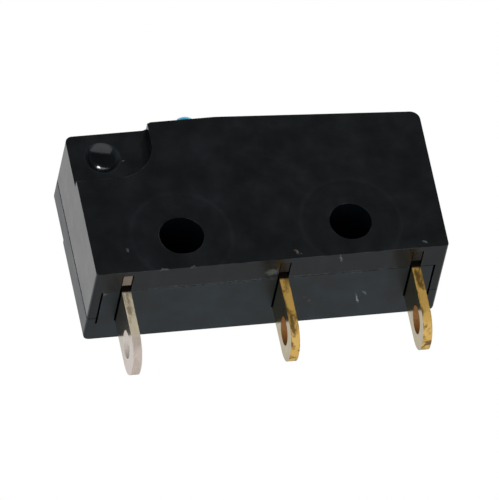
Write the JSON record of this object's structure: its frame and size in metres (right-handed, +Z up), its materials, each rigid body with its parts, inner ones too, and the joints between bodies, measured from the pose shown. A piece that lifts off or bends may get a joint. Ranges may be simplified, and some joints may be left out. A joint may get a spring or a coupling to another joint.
{
  "type": "plunger micro switch",
  "caption": "Subminiature snap-action changeover switch: a flat two-shell case with two cross mounting holes, a pin plunger on top and flat solder tabs below.",
  "frame": {"origin": "midway between the two mounting holes, at half the case's thickness", "axes": "+X along the case from the common terminal to the normally closed one, +Y from the front face, above the three locking lugs, to the back face, +Z up to the plunger"},
  "size_m": [0.0198, 0.0064, 0.0153],
  "materials": {
    "case_plastic": "moulded black, fine matte grain",
    "cover_plastic": "moulded black, slightly worn",
    "plunger_plastic": "moulded light blue",
    "terminal_silver": "stamped strip, silver plated",
    "terminal_brass": "stamped brass strip",
    "contact_silver": "silver rivet",
    "spring_bronze": "rolled spring strip",
    "spring_steel": "stainless spring steel"
  },
  "bodies": {
    "housing": {"case": "case_plastic", "cover": "cover_plastic", "terminal_common": "terminal_silver", "terminal_open": "terminal_brass", "terminal_closed": "terminal_brass", "contact_open": "contact_silver", "contact_closed": "contact_silver"},
    "plunger": {"plunger": "plunger_plastic"},
    "lever": {"lever": "spring_steel"},
    "contact_arm": {"contact_arm": "spring_bronze", "contact_moving": "contact_silver", "spring": "spring_steel"}
  },
  "joints": [
    {"name": "plunger_slide", "type": "slide", "parent": "housing", "child": "plunger", "axis": [0, 0, -1], "range_m": [0, 0.001], "stiffness_N_per_m": 1000, "springref_m": -0.0003},
    {"name": "lever_hinge", "type": "hinge", "parent": "housing", "child": "lever", "pos_m": [-0.0072, 0, 0.00255], "axis": [0, 1, 0], "range_deg": [0, 13.5]},
    {"name": "arm_hinge", "type": "hinge", "parent": "housing", "child": "contact_arm", "pos_m": [-0.0015, 0, 0.00347], "axis": [0, 1, 0], "range_deg": [0, 3.16], "deforming": ["spring"]}
  ],
  "couplings": [
    {"joint": "lever_hinge", "follows": "plunger_slide", "rad_per_m": 235},
    {"joint": "arm_hinge", "follows": "plunger_slide", "rad_per_m": 55}
  ]
}
